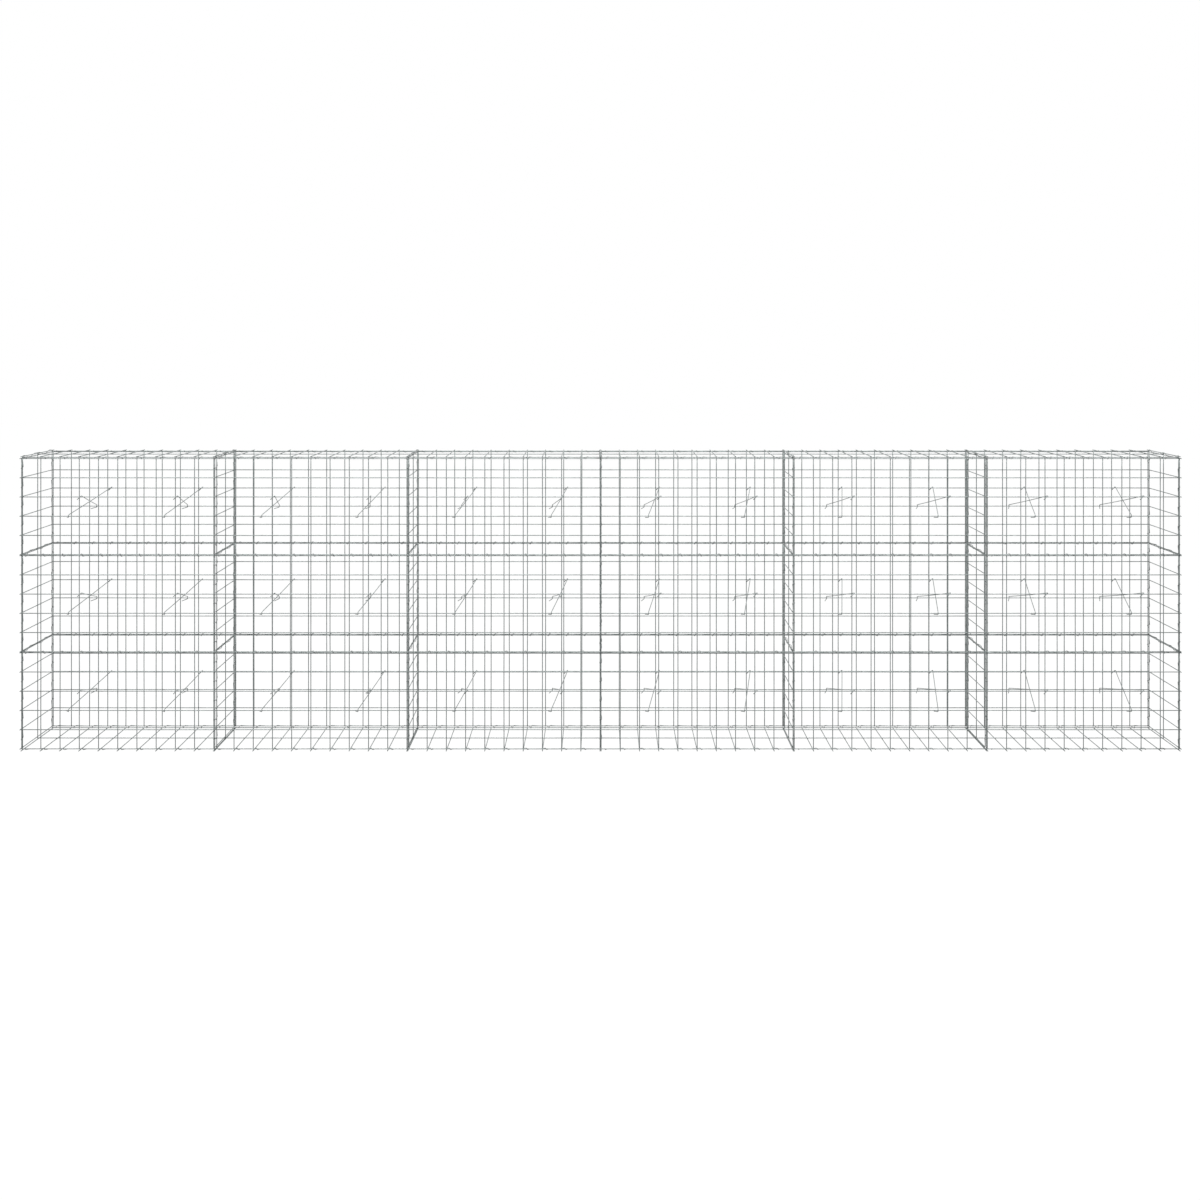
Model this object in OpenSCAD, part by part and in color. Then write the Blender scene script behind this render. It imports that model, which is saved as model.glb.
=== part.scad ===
// Gabion wall: six bays of welded wire mesh, three tiers high, with covers, partitions and cross ties.
// Length runs along X, the front faces -Y, and the wall stands on Z = 0 at the middle of its length.

/* [Wall] */
// Length of a bay's panels, outer wire to outer wire
bay_l = 1000; // [600:50:1500]
// Height of a tier's upright panels, outer wire to outer wire
tier_h = 500; // [300:50:800]
// Tiers stacked on each other
tiers = 3; // [1:1:4]
// Depth of the wall, front outer wires to back outer wires
depth = 500; // [300:50:1000]

/* [Mesh] */
// Mesh size of the upright panels, and of the wires across the depth
mesh = 100; // [60:10:150]
// Spaces across the depth of the partitions, ends, bottoms and covers
depth_spaces = 2; // [1:1:4]
// Diameter of the mesh wire
wire_d = 4.5; // [3:0.25:6]
// How far crossing wires are pressed into each other at a weld
weld_bite = 0.7; // [0.3:0.05:1]
// Clear gap between the wires of panels that are laced together
seam_gap = 0.3; // [0.1:0.05:0.8]
// Clear gap between the two layers of wires in bottoms and covers, which stay single bars
level_gap = 0.05; // [0.02:0.01:0.3]
// Inset of the edge wires of ends, bottoms and covers from the front and back
edge_inset = 20; // [12:1:50]
// Inset of the edge wires of partitions from the front and back
partition_inset = 50; // [12:1:100]
// How far the wires across the depth lap past the front and back
lap = 8; // [5:0.5:15]

/* [Cross ties] */
// Diameter of the tie wire
tie_d = 4; // [3:0.25:5]
// Clear gap between a tie's hook and the wire that it lies against
tie_gap = 0.3; // [0.1:0.05:0.8]
// Clear height of a tie above and below the wire that it hooks round
tie_lift = 0.6; // [0.3:0.1:4]
// Clear gap between the two ties of a pair where they pass
tie_pass = 2.5; // [0.5:0.5:5]
// Low end's place, left of the middle of its cell
tie_low_off = 8; // [0:1:25]
// High end's place, right of the cell's right wire
tie_high_off = 18; // [12:1:25]
// Low hook's reach to the side
low_hook_x = 16; // [5:1:30]
// Low hook's fall under the wire
low_hook_z = 3; // [0:0.5:15]
// How far a low hook at the front runs back into the wall
front_hook_in = 26; // [15:1:60]
// How far a low hook at the back runs back into the wall
back_hook_in = 55; // [15:1:80]
// High hook's reach to the side
high_hook_x = 22; // [10:1:30]
// High hook's reach down
high_hook_z = 21; // [10:1:40]

/* [Hidden] */
bays = 6;
mesh_grey = [0.70, 0.72, 0.73];
inner_grey = [0.62, 0.64, 0.66];
tie_grey = [0.78, 0.79, 0.80];

// Bars of few sides, with the section area of the round wire
wire_sides = 6;
tie_sides = 4;
function area_share(sides) = sqrt(PI / (sides * sin(360 / sides) * 2));
bar_r = wire_d * area_share(wire_sides);
tie_r = tie_d * area_share(tie_sides);
// How far the bars of a tie run on past a bend, to fill its outer corner
bend_run = tie_r / 2;
corner_w = 2 * bar_r;
flat_w = corner_w * cos(180 / wire_sides);

// Middle to middle of crossing wires, pressed into each other and laid on each other
layer = corner_w - weld_bite;
level_layer = (corner_w + flat_w) / 2 + level_gap;
// Middle to middle of the wires of two panels that are laced together
seam = corner_w + seam_gap;

// Mesh spaces and their true pitch
cells = max(1, round(bay_l / mesh));
cell_l = bay_l / cells;
rows = max(1, round(tier_h / mesh));
cell_h = tier_h / rows;

// Places along the wall
bay_pitch = bay_l + seam;
half_l = (bays * bay_pitch - seam) / 2;
end_x = half_l + seam;

// Places across the wall
face_y = depth / 2;
edge_y = face_y - edge_inset;
partition_y = face_y - partition_inset;

// Heights, from the ground up
floor_cross_z = flat_w / 2;
floor_long_z = floor_cross_z + level_layer;
face_z = floor_long_z + bar_r + seam_gap + flat_w / 2;
tier_pitch = tier_h + seam;
top_z = face_z + tiers * tier_pitch - seam;
cover_long_z = top_z + flat_w / 2 + seam_gap + bar_r;
cover_cross_z = cover_long_z + level_layer;
spaces = max(1, round(depth_spaces));

// Cross ties: two columns a bay, in the middle cell of each tier
tie_cell = floor(cells / 4);
tie_row = floor(rows / 2);
tie_y = face_y + bar_r + tie_gap + tie_r;
tie_slope = cell_h / (2 * tie_y);
tie_fall = bar_r + tie_lift + tie_r;
tie_rise = tie_fall + (tie_y - face_y + tie_r) * tie_slope;
tie_span_x = tie_low_off + cell_l / 2 + tie_high_off;
// Half the sideways step between the two ties of a pair
tie_step = (2 * tie_r + tie_pass) / 2 * sqrt(pow(tie_span_x, 2) + pow(cell_h, 2)) / cell_h;

function bay_x(bay) = (bay - (bays + 1) / 2) * bay_pitch;
function seam_x(n) = (n - bays / 2) * bay_pitch;
function unit(v) = v / norm(v);
function steps(from, to, count) = [for (i = [0:count]) from + (to - from) * i / count];

// Bar along X whose corners point up and down
module bar_x(x0, x1) {
    translate([x0, 0, 0])
        rotate([0, 90, 0])
            cylinder(r = bar_r, h = x1 - x0, $fn = wire_sides);
}

// Bar along Y with corners up and down, or flats up and down
module bar_y(y0, y1, flats_up = false) {
    translate([0, y0, 0])
        rotate([-90, 0, 0])
            rotate([0, 0, flats_up ? 0 : 90])
                cylinder(r = bar_r, h = y1 - y0, $fn = wire_sides);
}

// Flat welded mesh: bars along X at the heights ys, bars along Y at the places xs and one step off
module mesh_panel(xs, ys, x_end, y_end, step, flats_up = false) {
    first_x = xs[0] - x_end;
    last_x = xs[len(xs) - 1] + x_end;
    first_y = ys[0] - y_end;
    last_y = ys[len(ys) - 1] + y_end;
    for (y = ys)
        translate([0, y, 0])
            bar_x(first_x, last_x);
    for (x = xs)
        translate([x, 0, step])
            bar_y(first_y, last_y, flats_up);
}

// The panels of one face of a bay, one to a tier, with the long wires outside
module face_mesh(bay, side) {
    for (tier = [0:tiers - 1])
        translate([bay_x(bay), side * face_y, face_z + tier * tier_pitch])
            rotate([90, 0, 0])
                mesh_panel(
                    steps(-bay_l / 2, bay_l / 2, cells), steps(0, tier_h, rows),
                    flat_w / 2, flat_w / 2, side * layer
                );
}

// A level panel of a bay, with the wires across the depth one step off
module level_mesh(bay, long_z, step) {
    translate([bay_x(bay), 0, long_z])
        mesh_panel(
            steps(-bay_l / 2, bay_l / 2, cells), steps(-edge_y, edge_y, spaces),
            bar_r, edge_inset + lap, step, true
        );
}

// A panel to each tier across the wall, with its level wires at x and its upright wires one step off
module cross_mesh(x, step, edge, wire_end) {
    for (tier = [0:tiers - 1])
        translate([x, 0, face_z + tier * tier_pitch])
            rotate([90, 0, 90])
                mesh_panel(
                    steps(-edge, edge, spaces), steps(0, tier_h, rows),
                    wire_end, flat_w / 2, step
                );
}

// Straight piece of tie wire between two points
module tie_bar(a, b) {
    v = b - a;
    translate(a)
        rotate([0, acos(v[2] / norm(v)), atan2(v[1], v[0])])
            cylinder(r = tie_r, h = norm(v), $fn = tie_sides);
}

// Bent tie wire through a list of points, whose bars run into each other at the bends
module tie_wire(points) {
    last = len(points) - 2;
    for (i = [0:last]) {
        along = unit(points[i + 1] - points[i]);
        tie_bar(
            points[i] - along * (i > 0 ? bend_run : 0),
            points[i + 1] + along * (i < last ? bend_run : 0)
        );
    }
}

// One tie: the low end on the face side goes round its wire and back in, the high end hooks over its wire
module cross_tie(side, step, hook_in) {
    low = [step - tie_low_off, side * tie_y, tie_rise];
    low_turn = [step - tie_low_off, side * tie_y, -tie_fall];
    low_tip = low_turn + [-low_hook_x, -side * hook_in, -low_hook_z];
    high = [step + cell_l / 2 + tie_high_off, -side * tie_y, cell_h + tie_rise];
    high_tip = high + [-high_hook_x, 0, -high_hook_z];
    tie_wire([low_tip, low_turn, low, high, high_tip]);
}

// A crossed pair of ties in each tie column and tier of a bay
module cross_ties(bay) {
    for (tier = [0:tiers - 1])
        for (cell = [tie_cell, cells - 1 - tie_cell])
            translate([
                bay_x(bay) - bay_l / 2 + (cell + 1 / 2) * cell_l,
                0,
                face_z + tier * tier_pitch + tie_row * cell_h
            ]) {
                cross_tie(-1, tie_step, front_hook_in);
                cross_tie(1, -tie_step, back_hook_in);
            }
}

module front_mesh_bay(bay) { color(mesh_grey) face_mesh(bay, -1); }
module back_mesh_bay(bay) { color(mesh_grey) face_mesh(bay, 1); }
module bottom_mesh_bay(bay) { color(inner_grey) level_mesh(bay, floor_long_z, -level_layer); }
module cover_bay(bay) { color(mesh_grey) level_mesh(bay, cover_long_z, level_layer); }
module left_end_mesh() { color(mesh_grey) cross_mesh(-end_x, layer, edge_y, edge_inset + lap); }
module right_end_mesh() { color(mesh_grey) cross_mesh(end_x, -layer, edge_y, edge_inset + lap); }
module partition(n) { color(inner_grey) cross_mesh(seam_x(n) - layer / 2, layer, partition_y, flat_w / 2); }
module cross_ties_bay(bay) { color(tie_grey) cross_ties(bay); }

front_mesh_bay(1);  // front_mesh_bay_1
front_mesh_bay(2);  // front_mesh_bay_2
front_mesh_bay(3);  // front_mesh_bay_3
front_mesh_bay(4);  // front_mesh_bay_4
front_mesh_bay(5);  // front_mesh_bay_5
front_mesh_bay(6);  // front_mesh_bay_6
back_mesh_bay(1);  // back_mesh_bay_1
back_mesh_bay(2);  // back_mesh_bay_2
back_mesh_bay(3);  // back_mesh_bay_3
back_mesh_bay(4);  // back_mesh_bay_4
back_mesh_bay(5);  // back_mesh_bay_5
back_mesh_bay(6);  // back_mesh_bay_6
bottom_mesh_bay(1);  // bottom_mesh_bay_1
bottom_mesh_bay(2);  // bottom_mesh_bay_2
bottom_mesh_bay(3);  // bottom_mesh_bay_3
bottom_mesh_bay(4);  // bottom_mesh_bay_4
bottom_mesh_bay(5);  // bottom_mesh_bay_5
bottom_mesh_bay(6);  // bottom_mesh_bay_6
cover_bay(1);  // cover_bay_1
cover_bay(2);  // cover_bay_2
cover_bay(3);  // cover_bay_3
cover_bay(4);  // cover_bay_4
cover_bay(5);  // cover_bay_5
cover_bay(6);  // cover_bay_6
left_end_mesh();
partition(1);  // partition_1
partition(2);  // partition_2
partition(3);  // partition_3
partition(4);  // partition_4
partition(5);  // partition_5
right_end_mesh();
cross_ties_bay(1);  // cross_ties_bay_1
cross_ties_bay(2);  // cross_ties_bay_2
cross_ties_bay(3);  // cross_ties_bay_3
cross_ties_bay(4);  // cross_ties_bay_4
cross_ties_bay(5);  // cross_ties_bay_5
cross_ties_bay(6);  // cross_ties_bay_6
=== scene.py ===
import bpy
import numpy as np
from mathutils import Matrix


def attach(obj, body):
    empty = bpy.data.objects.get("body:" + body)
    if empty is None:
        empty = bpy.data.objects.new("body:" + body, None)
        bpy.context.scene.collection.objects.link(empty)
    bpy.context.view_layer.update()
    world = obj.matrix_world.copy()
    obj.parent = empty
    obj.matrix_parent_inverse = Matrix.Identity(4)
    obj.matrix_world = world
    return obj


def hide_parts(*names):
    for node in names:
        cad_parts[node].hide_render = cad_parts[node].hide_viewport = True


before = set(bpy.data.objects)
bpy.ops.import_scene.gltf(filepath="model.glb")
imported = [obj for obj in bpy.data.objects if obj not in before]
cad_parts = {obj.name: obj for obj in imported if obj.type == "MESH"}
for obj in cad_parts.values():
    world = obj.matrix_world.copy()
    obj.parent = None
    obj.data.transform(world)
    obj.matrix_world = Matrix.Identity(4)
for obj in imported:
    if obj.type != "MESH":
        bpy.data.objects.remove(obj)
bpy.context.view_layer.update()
print("stage: frame loaded,", len(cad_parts), "nodes")

# the wall's own sizes, in metres, as the solids have them
wall = {
    "bays": 6,
    "tiers": 3,
    "bayLength": 1.0,
    "tierHeight": 0.5,
    "depth": 0.5,
    "cells": 10,  # mesh spaces along a bay
    "rows": 5,  # mesh spaces up a tier
    "spaces": 2,  # mesh spaces across the depth
    "wire": 0.0045,
    "weldBite": 0.0007,
    "seamGap": 0.0003,
    "levelGap": 0.00005,
    "edgeInset": 0.020,
    "partitionInset": 0.050,
    "lap": 0.008,
}

# six-sided bars of the same section area as the wire set the spacing of layers and seams
barRadius = wall["wire"] * np.sqrt(np.pi / (12 * np.sin(np.pi / 3)))
cornerWidth = 2 * barRadius
flatWidth = cornerWidth * np.cos(np.pi / 6)
layer = cornerWidth - wall["weldBite"]
levelLayer = (cornerWidth + flatWidth) / 2 + wall["levelGap"]
seam = cornerWidth + wall["seamGap"]

# places along, across and up the wall
bayPitch = wall["bayLength"] + seam
halfLength = (wall["bays"] * bayPitch - seam) / 2
endX = halfLength + seam
faceY = wall["depth"] / 2
stemY = faceY - layer
edgeY = faceY - wall["edgeInset"]
partitionY = faceY - wall["partitionInset"]
floorCrossZ = flatWidth / 2
floorLongZ = floorCrossZ + levelLayer
faceZ = floorLongZ + barRadius + wall["seamGap"] + flatWidth / 2
tierPitch = wall["tierHeight"] + seam
topZ = faceZ + wall["tiers"] * tierPitch - seam
coverLongZ = topZ + flatWidth / 2 + wall["seamGap"] + barRadius
coverCrossZ = coverLongZ + levelLayer
cellLength = wall["bayLength"] / wall["cells"]
cellHeight = wall["tierHeight"] / wall["rows"]
bayMiddles = (np.arange(wall["bays"]) - (wall["bays"] - 1) / 2) * bayPitch
seamPlaces = (np.arange(1, wall["bays"]) - wall["bays"] / 2) * bayPitch

alongX = np.array([1.0, 0.0, 0.0])
alongY = np.array([0.0, 1.0, 0.0])
alongZ = np.array([0.0, 0.0, 1.0])


# unit vectors: each vector over its own length
def unit(v):
    return v / np.linalg.norm(v, axis=-1, keepdims=True)


# tube: point = path + radius (N cos a + B sin a) for a round the section,
# with N = tangent x reference and B = tangent x N
def sweepTubes(paths, radii, sides, reference):
    count, rings = paths.shape[:2]
    tangent = unit(np.gradient(paths, axis=1))
    normal = unit(np.cross(tangent, np.broadcast_to(reference, tangent.shape)))
    binormal = np.cross(tangent, normal)
    a = np.arange(sides) * 2 * np.pi / sides
    ring = normal[:, :, None] * np.cos(a)[:, None] + binormal[:, :, None] * np.sin(a)[:, None]
    points = paths[:, :, None] + ring * np.asarray(radii)[..., :, None, None]
    index = np.arange(count * rings * sides).reshape(count, rings, sides)
    after = np.roll(index, -1, axis=2)
    quads = np.stack([index[:, :-1], after[:, :-1], after[:, 1:], index[:, 1:]], axis=-1)
    caps = np.concatenate([index[:, 0, ::-1], index[:, -1]])
    return points.reshape(-1, 3), quads.reshape(-1, 4), caps


# weld bead: middle + A cos u sin v + B sin u sin v + C cos v, a flattened ball between two crossing wires
def weldBeads(middles, a, b, c, sides, bands):
    u = np.arange(sides) * 2 * np.pi / sides + np.pi / sides
    v = np.radians(bands)
    ring = a * np.cos(u)[:, None] + b * np.sin(u)[:, None]
    shell = ring[None] * np.sin(v)[:, None, None] + c * np.cos(v)[:, None, None]
    points = middles[:, None, None] + shell[None]
    index = np.arange(points[..., 0].size).reshape(points.shape[:3])
    after = np.roll(index, -1, axis=2)
    quads = np.stack([index[:, :-1], index[:, 1:], after[:, 1:], after[:, :-1]], axis=-1)
    caps = np.concatenate([index[:, 0], index[:, -1, ::-1]])
    if np.dot(np.cross(a, b), c) < 0:  # keep the faces outwards when the three axes are left-handed
        quads, caps = quads[..., ::-1], caps[:, ::-1]
    return points.reshape(-1, 3), quads.reshape(-1, 4), caps


# piece: one mesh of all the parts, each part's faces counted on from the points before it
def makePiece(name, parts, material, nodes=()):
    points, faces, smooth, start = [], [], [], 0
    for part in parts:
        points.append(part[0])
        faces += (part[1] + start).tolist() + (part[2] + start).tolist()
        smooth += [True] * len(part[1]) + [False] * len(part[2])
        start += len(part[0])
    mesh = bpy.data.meshes.new(name)
    mesh.from_pydata(np.concatenate(points), [], faces)
    mesh.polygons.foreach_set("use_smooth", smooth)
    mesh.materials.append(material)
    mesh.update()
    piece = bpy.data.objects.new(name, mesh)
    bpy.context.scene.collection.objects.link(piece)
    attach(piece, "root")
    if nodes:
        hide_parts(*nodes)
    return piece


bloomLook = {
    "cloudDetail": 4.0,
    "cloudShare": 0.55,  # share of cloud against grain
    "spread": (0.2, 0.8),  # values of the blend that come out dark and pale
    "roughness": (0.26, 0.44),
    "bumpStrength": 0.35,
}


# zinc bloom: blend = grain + (cloud - grain) share, from voronoi grains shaded at random and cloudy noise;
# grey goes from dark to pale, and roughness from low to high, with the blend, which is also the height
def makeZincBloom():
    group = bpy.data.node_groups.new("zincBloom", "ShaderNodeTree")
    face = group.interface
    for label, value in (("Grain Scale", 160.0), ("Cloud Scale", 9.0), ("Dark", 0.3), ("Pale", 0.5)):
        face.new_socket(label, in_out="INPUT", socket_type="NodeSocketFloat").default_value = value
    face.new_socket("Tint", in_out="INPUT", socket_type="NodeSocketColor").default_value = (1, 1, 1, 1)
    face.new_socket("Color", in_out="OUTPUT", socket_type="NodeSocketColor")
    face.new_socket("Roughness", in_out="OUTPUT", socket_type="NodeSocketFloat")
    face.new_socket("Height", in_out="OUTPUT", socket_type="NodeSocketFloat")
    nodes, links = group.nodes, group.links
    inlet = nodes.new("NodeGroupInput")
    outlet = nodes.new("NodeGroupOutput")
    coords = nodes.new("ShaderNodeTexCoord")
    grain = nodes.new("ShaderNodeTexVoronoi")
    links.new(coords.outputs["Object"], grain.inputs["Vector"])
    links.new(inlet.outputs["Grain Scale"], grain.inputs["Scale"])
    grainGrey = nodes.new("ShaderNodeSeparateColor")
    links.new(grain.outputs["Color"], grainGrey.inputs["Color"])
    cloud = nodes.new("ShaderNodeTexNoise")
    cloud.inputs["Detail"].default_value = bloomLook["cloudDetail"]
    links.new(coords.outputs["Object"], cloud.inputs["Vector"])
    links.new(inlet.outputs["Cloud Scale"], cloud.inputs["Scale"])
    blend = nodes.new("ShaderNodeMix")
    blend.inputs["Factor"].default_value = bloomLook["cloudShare"]
    links.new(grainGrey.outputs["Red"], blend.inputs["A"])
    links.new(cloud.outputs["Fac"], blend.inputs["B"])
    grey = nodes.new("ShaderNodeMapRange")
    grey.inputs["From Min"].default_value, grey.inputs["From Max"].default_value = bloomLook["spread"]
    links.new(blend.outputs["Result"], grey.inputs["Value"])
    links.new(inlet.outputs["Dark"], grey.inputs["To Min"])
    links.new(inlet.outputs["Pale"], grey.inputs["To Max"])
    tint = nodes.new("ShaderNodeMix")
    tint.data_type = "RGBA"
    tint.blend_type = "MULTIPLY"
    tint.inputs["Factor"].default_value = 1.0
    links.new(grey.outputs["Result"], tint.inputs["A"])
    links.new(inlet.outputs["Tint"], tint.inputs["B"])
    links.new(tint.outputs["Result"], outlet.inputs["Color"])
    rough = nodes.new("ShaderNodeMapRange")
    rough.inputs["To Min"].default_value, rough.inputs["To Max"].default_value = bloomLook["roughness"]
    links.new(blend.outputs["Result"], rough.inputs["Value"])
    links.new(rough.outputs["Result"], outlet.inputs["Roughness"])
    links.new(blend.outputs["Result"], outlet.inputs["Height"])
    return group


# galvanised wire: metal whose colour, gloss and fine bump come from the zinc bloom
def makeZincMaterial(name, look, bloom):
    material = bpy.data.materials.new(name)
    material.use_nodes = True
    nodes, links = material.node_tree.nodes, material.node_tree.links
    shader = nodes["Principled BSDF"]
    shader.inputs["Metallic"].default_value = look["metallic"]
    effect = nodes.new("ShaderNodeGroup")
    effect.node_tree = bloom
    effect.inputs["Grain Scale"].default_value = look["grainScale"]
    effect.inputs["Cloud Scale"].default_value = look["cloudScale"]
    effect.inputs["Dark"].default_value = look["dark"]
    effect.inputs["Pale"].default_value = look["pale"]
    effect.inputs["Tint"].default_value = look["tint"]
    bump = nodes.new("ShaderNodeBump")
    bump.inputs["Strength"].default_value = bloomLook["bumpStrength"]
    bump.inputs["Distance"].default_value = look["bump"]
    links.new(effect.outputs["Color"], shader.inputs["Base Color"])
    links.new(effect.outputs["Roughness"], shader.inputs["Roughness"])
    links.new(effect.outputs["Height"], bump.inputs["Height"])
    links.new(bump.outputs["Normal"], shader.inputs["Normal"])
    return material


zincLooks = {
    "meshWire": {"metallic": 0.55, "grainScale": 160.0, "cloudScale": 9.0, "dark": 0.12, "pale": 0.23,
                 "tint": (0.89, 1.0, 0.985, 1.0), "bump": 0.0002},
    "tieWire": {"metallic": 0.60, "grainScale": 220.0, "cloudScale": 14.0, "dark": 0.13, "pale": 0.25,
                "tint": (0.89, 1.0, 0.985, 1.0), "bump": 0.00015},
    # binder wire: the same zinc as the mesh wire, with its dark and pale lowered as painted shade for the
    # coils lying in the shadow of the seams
    "shadedBinderWire": {"metallic": 0.55, "grainScale": 220.0, "cloudScale": 14.0, "dark": 0.06, "pale": 0.14,
                   "tint": (0.89, 1.0, 0.985, 1.0), "bump": 0.00015},
}
zincBloom = makeZincBloom()
finishes = {name: makeZincMaterial(name, look, zincBloom) for name, look in zincLooks.items()}
print("stage: finishes made,", ", ".join(finishes))

# welded mesh panels
panelLook = {
    "sides": 12,
    "rings": 7,  # rings along a wire between its cut ends
    "cutBevel": 0.0005,
    "bow": 0.0003,  # how far a wire strays from straight
    "endJitter": 0.0006,  # uneven shearing of the lapped ends
    "beadRadius": 0.0030,
    "beadHeight": 0.0016,
    "beadSides": 6,
    "beadBands": (35, 72, 108, 145),  # degrees from a bead's pole
    "seed": 11,
}
chance = np.random.default_rng(panelLook["seed"])


# straight wires: start + (end - start) t, bowed sideways by bow (p sin pi t + q sin 2 pi t),
# with bevelled cut ends
def straightWires(starts, ends, sideways, jitter):
    along = unit(ends - starts)
    starts = starts - along * (chance.random((len(starts), 1)) - 0.5) * 2 * jitter
    ends = ends + along * (chance.random((len(ends), 1)) - 0.5) * 2 * jitter
    length = np.linalg.norm(ends - starts, axis=1)
    t = np.linspace(0, 1, panelLook["rings"])[None, :] * np.ones((len(starts), 1))
    bevel = panelLook["cutBevel"] / length[:, None]
    t = np.concatenate([np.zeros_like(bevel), bevel + t * (1 - 2 * bevel), np.ones_like(bevel)], axis=1)
    p, q = chance.uniform(-1, 1, (2, len(starts), 1)) * panelLook["bow"]
    stray = p * np.sin(np.pi * t) + q * np.sin(2 * np.pi * t)
    paths = starts[:, None] + (ends - starts)[:, None] * t[..., None] + stray[..., None] * sideways
    radius = np.full(t.shape[1], wall["wire"] / 2)
    radius[[0, -1]] -= panelLook["cutBevel"]
    return sweepTubes(paths, radius, panelLook["sides"], sideways)


# flat mesh: wires along a at each b place, wires along b at each a place one step off along n,
# and a bead at every crossing
def meshPanel(origin, a, b, n, aPlaces, bPlaces, aEnd, bEnd, step, aJitter=0.0, bJitter=0.0):
    rows = origin + b * bPlaces[:, None]
    posts = origin + a * aPlaces[:, None] + n * step
    rowWires = straightWires(rows + a * (aPlaces[0] - aEnd), rows + a * (aPlaces[-1] + aEnd), b, aJitter)
    postWires = straightWires(posts + b * (bPlaces[0] - bEnd), posts + b * (bPlaces[-1] + bEnd), a, bJitter)
    crossings = origin + (a * aPlaces[:, None])[:, None] + (b * bPlaces[:, None])[None] + n * step / 2
    radius, height = panelLook["beadRadius"], panelLook["beadHeight"]
    beads = weldBeads(crossings.reshape(-1, 3), a * radius, b * radius, n * height,
                      panelLook["beadSides"], panelLook["beadBands"])
    return [rowWires, postWires, beads]


bayPlaces = np.linspace(-wall["bayLength"] / 2, wall["bayLength"] / 2, wall["cells"] + 1)
tierPlaces = np.linspace(0, wall["tierHeight"], wall["rows"] + 1)
depthPlaces = np.linspace(-edgeY, edgeY, wall["spaces"] + 1)
partitionPlaces = np.linspace(-partitionY, partitionY, wall["spaces"] + 1)

for number, x in enumerate(bayMiddles, 1):
    for label, side in (("front", -1), ("back", 1)):
        parts = []
        for tier in range(wall["tiers"]):
            corner = np.array([x, side * faceY, faceZ + tier * tierPitch])
            parts += meshPanel(corner, alongX, alongZ, -side * alongY, bayPlaces, tierPlaces,
                               flatWidth / 2, flatWidth / 2, layer)
        makePiece(f"{label}MeshBay{number}", parts, finishes["meshWire"],
                  [f"{label}_mesh_bay_{number}"])
    floor = meshPanel(np.array([x, 0, floorLongZ]), alongX, alongY, -alongZ, bayPlaces, depthPlaces,
                      barRadius, wall["edgeInset"] + wall["lap"], levelLayer, 0.0, panelLook["endJitter"])
    makePiece(f"bottomMeshBay{number}", floor, finishes["meshWire"],
              [f"bottom_mesh_bay_{number}"])
    cover = meshPanel(np.array([x, 0, coverLongZ]), alongX, alongY, alongZ, bayPlaces, depthPlaces,
                      barRadius, wall["edgeInset"] + wall["lap"], levelLayer, 0.0, panelLook["endJitter"])
    makePiece(f"coverBay{number}", cover, finishes["meshWire"], [f"cover_bay_{number}"])


# panels across the wall, one to a tier: level wires at x, upright wires one step along n
def crossPanels(name, node, x, n, places, wireEnd, jitter):
    parts = []
    for tier in range(wall["tiers"]):
        corner = np.array([x, 0, faceZ + tier * tierPitch])
        parts += meshPanel(corner, alongY, alongZ, n, places, tierPlaces,
                           wireEnd, flatWidth / 2, layer, jitter)
    makePiece(name, parts, finishes["meshWire"], [node])


lapEnd = wall["edgeInset"] + wall["lap"]
crossPanels("leftEndMesh", "left_end_mesh", -endX, alongX, depthPlaces, lapEnd, panelLook["endJitter"])
crossPanels("rightEndMesh", "right_end_mesh", endX, -alongX, depthPlaces, lapEnd, panelLook["endJitter"])
for number, x in enumerate(seamPlaces, 1):
    crossPanels(f"partition{number}", f"partition_{number}", x - layer / 2, alongX, partitionPlaces,
                flatWidth / 2, 0.0)
print("stage: mesh panels made")

# hooked cross ties
tieLook = {
    "wire": 0.004,
    "gap": 0.0003,
    "lift": 0.0006,
    "pass": 0.0025,
    "lowOff": 0.008,  # low end, left of the middle of its cell
    "highOff": 0.018,  # high end, right of the cell's right wire
    "lowHook": (0.016, 0.003),  # reach to the side and fall under the wire
    "frontIn": 0.026,  # how far a low hook runs back into the wall, at the front and at the back
    "backIn": 0.055,
    "highHook": (0.022, 0.021),  # reach to the side and down
    "columns": (2, 7),  # mesh cells of a bay that hold ties
    "row": 2,
    "bends": (0.0038, 0.0038, 0.0050),  # bend radii, to the middle of the wire
    "bendRings": 6,
    "runRings": 6,
    "sides": 10,
    "cutBevel": 0.0004,
    "sag": 0.0015,
}


# bend: middle + radius (-inward cos f + u sin f), f from 0 to the turn between the directions u and v
def bendPath(corner, u, v, radius, rings):
    turn = np.arccos(np.sum(u * v, axis=1))
    inward = unit(v - np.sum(u * v, axis=1, keepdims=True) * u)
    middle = corner - u * (radius * np.tan(turn / 2))[:, None] + inward * radius
    f = np.linspace(0, 1, rings)[None, :, None] * turn[:, None, None]
    return middle[:, None] + radius * (u[:, None] * np.sin(f) - inward[:, None] * np.cos(f))


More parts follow.
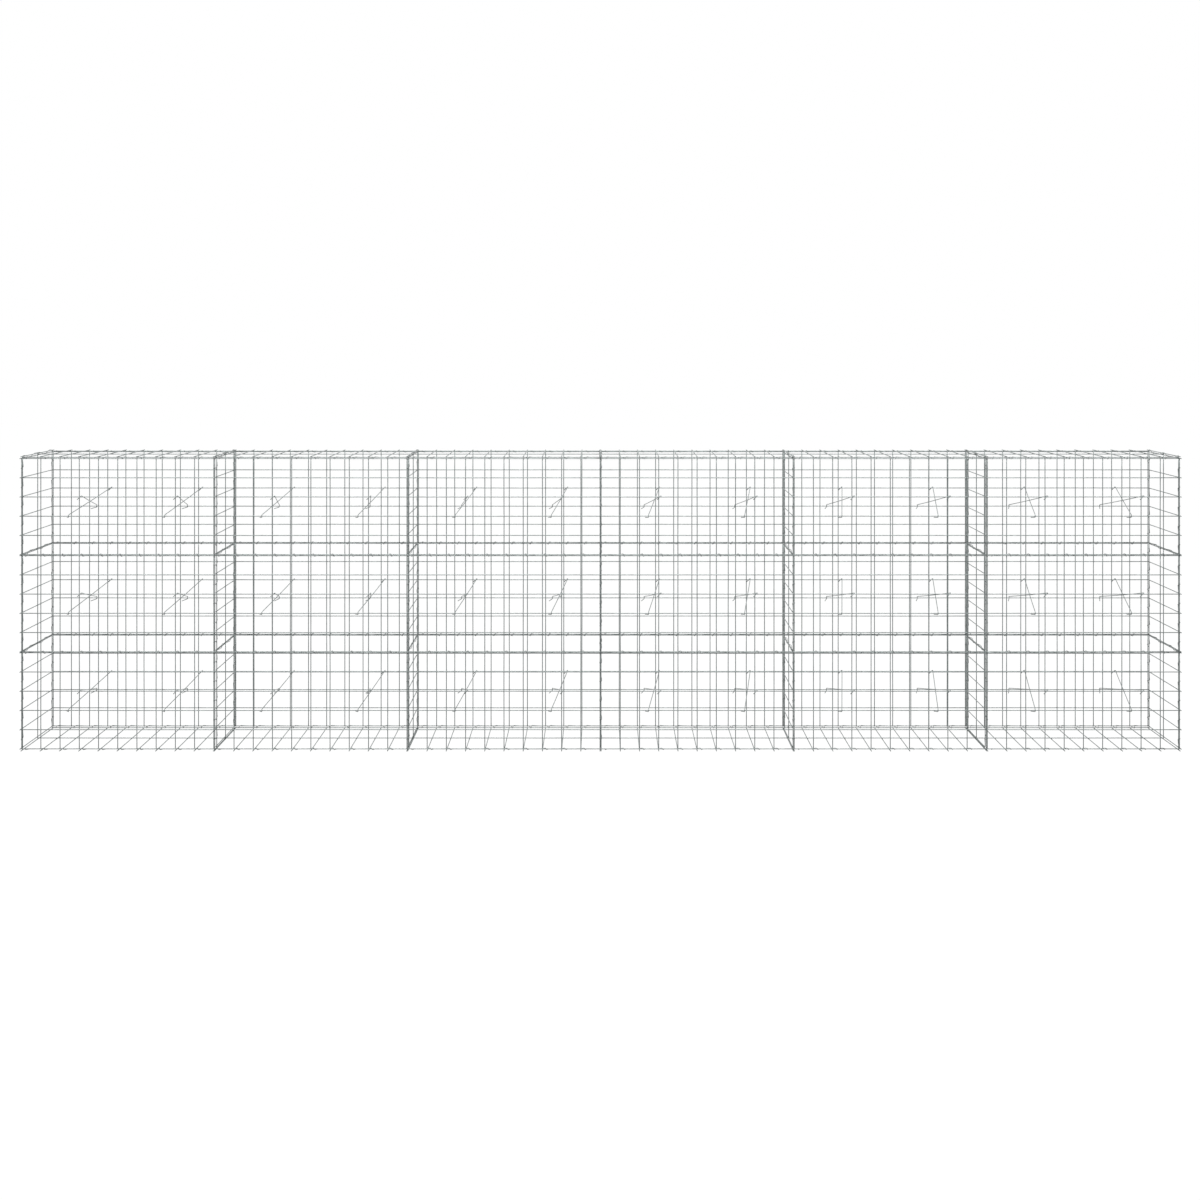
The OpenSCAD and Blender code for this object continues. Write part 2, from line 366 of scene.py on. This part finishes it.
# tie: leg, two bends round the low wire, straight run with a slight sag, bend over the high wire, leg
def tieWires(corners):
    legs = [unit(after - before) for before, after in zip(corners, corners[1:])]
    bends = [bendPath(corner, u, v, radius, tieLook["bendRings"])
             for corner, u, v, radius in zip(corners[1:-1], legs, legs[1:], tieLook["bends"])]
    t = np.linspace(0, 1, tieLook["runRings"] + 2)[1:-1]
    run = bends[1][:, -1:] + (bends[2][:, :1] - bends[1][:, -1:]) * t[:, None]
    run = run - alongZ * tieLook["sag"] * np.sin(np.pi * t)[:, None]
    bevel = tieLook["cutBevel"]
    first, last = corners[0][:, None], corners[-1][:, None]
    paths = np.concatenate([first, first + legs[0][:, None] * bevel, bends[0], bends[1], run, bends[2],
                            last - legs[-1][:, None] * bevel, last], axis=1)
    radius = np.full(paths.shape[1], tieLook["wire"] / 2)
    radius[[0, -1]] -= bevel
    return sweepTubes(paths, radius, tieLook["sides"], alongX)


tieBar = tieLook["wire"] * np.sqrt(np.pi / 8)  # four-sided bar of the wire's section area
tieY = faceY + barRadius + tieLook["gap"] + tieBar
tieFall = barRadius + tieLook["lift"] + tieBar
tieRise = tieFall + (tieY - faceY + tieBar) * cellHeight / (2 * tieY)
tieSpan = tieLook["lowOff"] + cellLength / 2 + tieLook["highOff"]
tieStep = (2 * tieBar + tieLook["pass"]) / 2 * np.hypot(tieSpan, cellHeight) / cellHeight
tieColumns = bayPlaces[0] + (np.array(tieLook["columns"]) + 0.5) * cellLength
tieRows = faceZ + np.arange(wall["tiers"]) * tierPitch + tieLook["row"] * cellHeight
for number, x in enumerate(bayMiddles, 1):
    grid = np.stack(np.meshgrid(x + tieColumns, [0.0], tieRows, indexing="ij"), axis=-1).reshape(-1, 3)
    parts = []
    for side, step, hookIn in ((-1, tieStep, tieLook["frontIn"]), (1, -tieStep, tieLook["backIn"])):
        low = grid + np.array([step - tieLook["lowOff"], side * tieY, tieRise])
        lowTurn = low - alongZ * (tieRise + tieFall)
        lowTip = lowTurn - np.array([tieLook["lowHook"][0], side * hookIn, tieLook["lowHook"][1]])
        highX = step + cellLength / 2 + tieLook["highOff"]
        high = grid + np.array([highX, -side * tieY, cellHeight + tieRise])
        highTip = high - np.array([tieLook["highHook"][0], 0, tieLook["highHook"][1]])
        parts.append(tieWires([lowTip, lowTurn, low, high, highTip]))
    makePiece(f"crossTiesBay{number}", parts, finishes["tieWire"],
              [f"cross_ties_bay_{number}"])
print("stage: cross ties made")

# spiral binders, one turn to a mesh space, pulled tight: they cross a seam fast and run on behind it
binderLook = {
    "wire": 0.0024,
    "sides": 7,
    "ringsPerTurn": 20,
    "cutBevel": 0.0003,
    "play": 0.0003,  # between the spiral and the wires inside it
    "tierPlay": 0.0006,
    "endRoom": 0.019,  # a coil stops this far from the corner of its panel
    "overhangShare": 0.25,  # share of that room by which a coil across the wall runs on
    "grip": 10.0,  # how much faster a coil crosses at its quick side
    "looseGrip": 2.0,
    "evenGrip": 1.0,
    "tierLead": 0.18,  # share of a mesh space from an upright wire to the coil's quick side
    "footLead": 0.20,
    "topLead": 0.26,
    "middleLead": 0.5,
    "crownLead": 0.0,
}


# coil: start + axis s + A c + B (1 - taper (1 - c) / 2) d + lean (1 - c) / 2,
# a rounded oblong carried along the seam from s = first to last, narrower and shifted at its inner side,
# with c, d = cos f, sin f over (cos^4 f + sin^4 f)^(1/4), s = pitch (lead + turn + angle / 2 pi)
# and tan(angle / 2) = tan((f - quick) / 2) / grip
def coilWires(starts, axis, a, b, pitch, lead, quick, grip, first, last, taper=0.0, lean=0.0):
    rings = binderLook["ringsPerTurn"]
    turns = int(np.ceil((last - first) / pitch)) + 3
    swing = np.tile(2 * np.pi * ((np.arange(rings) + 0.5) / rings - 0.5), turns)
    angle = 2 * np.arctan2(np.sin(swing / 2), grip * np.cos(swing / 2))
    s = pitch * (lead + np.repeat(np.arange(turns) - 1, rings) + angle / (2 * np.pi))
    inside = (s >= first) & (s <= last)
    s, f = s[inside], swing[inside] + quick
    oblong = (np.cos(f) ** 4 + np.sin(f) ** 4) ** 0.25
    c, d = (np.cos(f) / oblong)[:, None], (np.sin(f) / oblong)[:, None]
    inner = (1 - c) / 2
    section = a * c + b * (1 - taper * inner) * d + lean * inner
    paths = np.asarray(starts)[:, None] + axis * s[:, None] + section
    bevel = binderLook["cutBevel"]
    tipA = paths[:, :1] + unit(paths[:, :1] - paths[:, 1:2]) * bevel
    tipB = paths[:, -1:] + unit(paths[:, -1:] - paths[:, -2:-1]) * bevel
    paths = np.concatenate([tipA, paths, tipB], axis=1)
    radius = np.full(paths.shape[1], binderLook["wire"] / 2)
    radius[[0, -1]] -= bevel
    return sweepTubes(paths, radius, binderLook["sides"], axis)


bayStarts = bayMiddles - wall["bayLength"] / 2
room = binderLook["endRoom"]
bayEnd = wall["bayLength"] - room
tierEnd = wall["tierHeight"] - room
# from the middle of a wire to the middle of the coil round it
clear = (wall["wire"] + binderLook["wire"]) / 2 + binderLook["play"]
tierSeams = faceZ + np.arange(1, wall["tiers"]) * tierPitch - seam / 2
tierStarts = faceZ + np.arange(wall["tiers"]) * tierPitch

tierCoils, footCoils, topCoils, postCoils = [], [], [], []
grip = binderLook["grip"]
for side in (-1, 1):
    out = side * alongY
    facing = np.pi * (1 + side) / 2  # the quick side looks to the front on both
    deep, tall = layer / 2 + clear + binderLook["tierPlay"], seam / 2 + clear
    starts = [[x, side * (faceY + stemY) / 2, z] for x in bayStarts for z in tierSeams]
    tierCoils.append(coilWires(starts, alongX, out * deep, -alongZ * tall, cellLength,
                               binderLook["tierLead"], facing, grip, room, bayEnd))
    deep = wall["edgeInset"] / 2 + clear
    starts = [[x, side * (faceY + edgeY) / 2, faceZ] for x in bayStarts]
    footCoils.append(coilWires(starts, alongX, out * deep, -alongZ * clear, cellLength,
                               binderLook["footLead"], facing, grip, room, bayEnd,
                               lean=alongZ * (floorLongZ - faceZ)))
    starts = [[x, side * (faceY + edgeY) / 2, topZ] for x in bayStarts]
    topCoils.append(coilWires(starts, alongX, out * deep, alongZ * clear, cellLength,
                              binderLook["topLead"], facing, grip, room, bayEnd,
                              lean=alongZ * (coverLongZ - topZ)))
    # from a pair of uprights, or a corner's one, to the upright set back behind them
    wide, cornerLean = seam / 2 + clear, alongX * (seam - layer)
    posts = [(seamPlaces, partitionY, wide, 1 - clear / wide, alongX * layer / 2),
             ([halfLength], edgeY, clear, 0.0, cornerLean), ([-halfLength], edgeY, clear, 0.0, -cornerLean)]
    for places, inner, wide, taper, lean in posts:
        deep = (stemY - inner) / 2 + clear
        starts = [[x, side * (stemY + inner) / 2, z] for x in places for z in tierStarts]
        postCoils.append(coilWires(starts, alongZ, out * deep, alongX * wide, cellHeight,
                                   binderLook["middleLead"], 0.0, grip, room, tierEnd, taper, lean))
# the binders take the zinc that is darkened with painted shade
makePiece("tierBinders", tierCoils, finishes["shadedBinderWire"])
makePiece("footBinders", footCoils, finishes["shadedBinderWire"])
makePiece("topBinders", topCoils, finishes["shadedBinderWire"])
makePiece("postBinders", postCoils, finishes["shadedBinderWire"])

depthPitch = depthPlaces[1] - depthPlaces[0]
overhang = room * binderLook["overhangShare"]
crownPlaces = np.concatenate([[-(halfLength + endX) / 2], seamPlaces, [(halfLength + endX) / 2]])
starts = [[x, depthPlaces[0], (coverCrossZ + topZ) / 2] for x in crownPlaces]
tall, wide = (coverCrossZ - topZ) / 2 + clear, seam / 2 + clear
crownCoils = [coilWires(starts, alongY, alongZ * tall, alongX * wide, depthPitch, binderLook["crownLead"],
                        0.0, binderLook["evenGrip"], -overhang, 2 * edgeY + overhang)]
wide, tall = layer / 2 + clear, seam / 2 + clear
crossSeams = [(seamPlaces, partitionY, alongX), ([endX - layer / 2], edgeY, alongX),
              ([layer / 2 - endX], edgeY, -alongX)]
partitionCoils = []
for places, edge, outward in crossSeams:
    starts = [[x, -edge, z] for x in places for z in tierSeams]
    partitionCoils.append(coilWires(starts, alongY, outward * wide, alongZ * tall, edge,
                                    binderLook["middleLead"], 0.0, binderLook["looseGrip"],
                                    -overhang, 2 * edge + overhang))
makePiece("crownBinders", crownCoils, finishes["shadedBinderWire"])
makePiece("partitionBinders", partitionCoils, finishes["shadedBinderWire"])
print("stage: spiral binders made")

# white studio: floor and surroundings are white to the eye and in reflections, and plain grey as light
studio = {
    "floorSize": 60.0,
    "floorColor": (0.18, 0.18, 0.18, 1.0),
    "floorShade": 0.10,  # how much of its own shading the floor shows
    "floorGlow": 1.095,
    "horizonLight": 0.08,
    "zenithLight": 0.95,
    "dawn": (0.05, 0.5),  # heights of a direction between which the light grows
    "key": {"at": (0.0, -2.0, 4.6), "size": (9.0, 4.0), "watts": 800.0},
}


# rays that see plain white: the largest of camera, glossy and transmission, each 0 or 1
def whiteRays(nodes, links):
    ray = nodes.new("ShaderNodeLightPath")
    seen = ray.outputs["Is Camera Ray"]
    for kind in ("Is Glossy Ray", "Is Transmission Ray"):
        either = nodes.new("ShaderNodeMath")
        either.operation = "MAXIMUM"
        links.new(seen, either.inputs[0])
        links.new(ray.outputs[kind], either.inputs[1])
        seen = either.outputs[0]
    return seen


# floor: a square of four corners at ground level, white to the eye, with a trace of its shading
def makeFloor(look):
    half = look["floorSize"] / 2
    corners = np.array([[-half, -half, 0], [half, -half, 0], [half, half, 0], [-half, half, 0]])
    mesh = bpy.data.meshes.new("floor")
    mesh.from_pydata(corners, [], [[0, 1, 2, 3]])
    material = bpy.data.materials.new("whiteFloor")
    material.use_nodes = True
    nodes, links = material.node_tree.nodes, material.node_tree.links
    nodes.remove(nodes["Principled BSDF"])
    matt = nodes.new("ShaderNodeBsdfDiffuse")
    matt.inputs["Color"].default_value = look["floorColor"]
    glow = nodes.new("ShaderNodeEmission")
    glow.inputs["Strength"].default_value = look["floorGlow"]
    share = nodes.new("ShaderNodeMath")
    share.operation = "MULTIPLY"
    share.inputs[1].default_value = 1 - look["floorShade"]
    mix = nodes.new("ShaderNodeMixShader")
    links.new(whiteRays(nodes, links), share.inputs[0])
    links.new(share.outputs[0], mix.inputs["Fac"])
    links.new(matt.outputs[0], mix.inputs[1])
    links.new(glow.outputs[0], mix.inputs[2])
    links.new(mix.outputs[0], nodes["Material Output"].inputs["Surface"])
    mesh.materials.append(material)
    floor = bpy.data.objects.new("floor", mesh)
    bpy.context.scene.collection.objects.link(floor)


# surroundings: white to the eye and in reflections;
# for the rest, strength goes from horizon to zenith light with the height of a direction
def makeSurroundings(look):
    world = bpy.data.worlds.new("studio")
    bpy.context.scene.world = world
    world.use_nodes = True
    nodes, links = world.node_tree.nodes, world.node_tree.links
    light = nodes["Background"]
    light.inputs["Color"].default_value = (1, 1, 1, 1)
    coords = nodes.new("ShaderNodeTexCoord")
    height = nodes.new("ShaderNodeSeparateXYZ")
    strength = nodes.new("ShaderNodeMapRange")
    strength.inputs["From Min"].default_value, strength.inputs["From Max"].default_value = look["dawn"]
    strength.inputs["To Min"].default_value = look["horizonLight"]
    strength.inputs["To Max"].default_value = look["zenithLight"]
    links.new(coords.outputs["Generated"], height.inputs["Vector"])
    links.new(height.outputs["Z"], strength.inputs["Value"])
    links.new(strength.outputs["Result"], light.inputs["Strength"])
    white = nodes.new("ShaderNodeBackground")
    white.inputs["Color"].default_value = (1, 1, 1, 1)
    mix = nodes.new("ShaderNodeMixShader")
    links.new(whiteRays(nodes, links), mix.inputs["Fac"])
    links.new(light.outputs[0], mix.inputs[1])
    links.new(white.outputs[0], mix.inputs[2])
    links.new(mix.outputs[0], nodes["World Output"].inputs["Surface"])


makeFloor(studio)
makeSurroundings(studio)
keyLight = bpy.data.lights.new("overheadPanel", "AREA")
keyLight.shape = "RECTANGLE"
keyLight.size, keyLight.size_y = studio["key"]["size"]
keyLight.energy = studio["key"]["watts"]
keyLamp = bpy.data.objects.new("overheadPanel", keyLight)
keyLamp.location = studio["key"]["at"]
bpy.context.scene.collection.objects.link(keyLamp)
bpy.context.scene.view_settings.view_transform = "Standard"
print("stage: studio made")

# camera, level and square to the front, with its frame shifted down
shot = {
    "lens": 49.107,
    "sensor": 36.0,
    "distance": 8.5156,  # from the front's outer wires
    "height": 2.16606,
    "frame": 1200,
    "horizonRow": 334.75,
    "middleColumn": 600.58,
}
camera = bpy.data.cameras.new("camera")
camera.lens = shot["lens"]
camera.sensor_width = shot["sensor"]
camera.shift_x = (shot["frame"] / 2 - shot["middleColumn"]) / shot["frame"]
camera.shift_y = (shot["horizonRow"] - shot["frame"] / 2) / shot["frame"]
cameraRig = bpy.data.objects.new("camera", camera)
cameraRig.location = (0.0, -faceY - shot["distance"], shot["height"])
cameraRig.rotation_euler = (np.pi / 2, 0, 0)
bpy.context.scene.collection.objects.link(cameraRig)
bpy.context.scene.camera = cameraRig
print("stage: camera set")
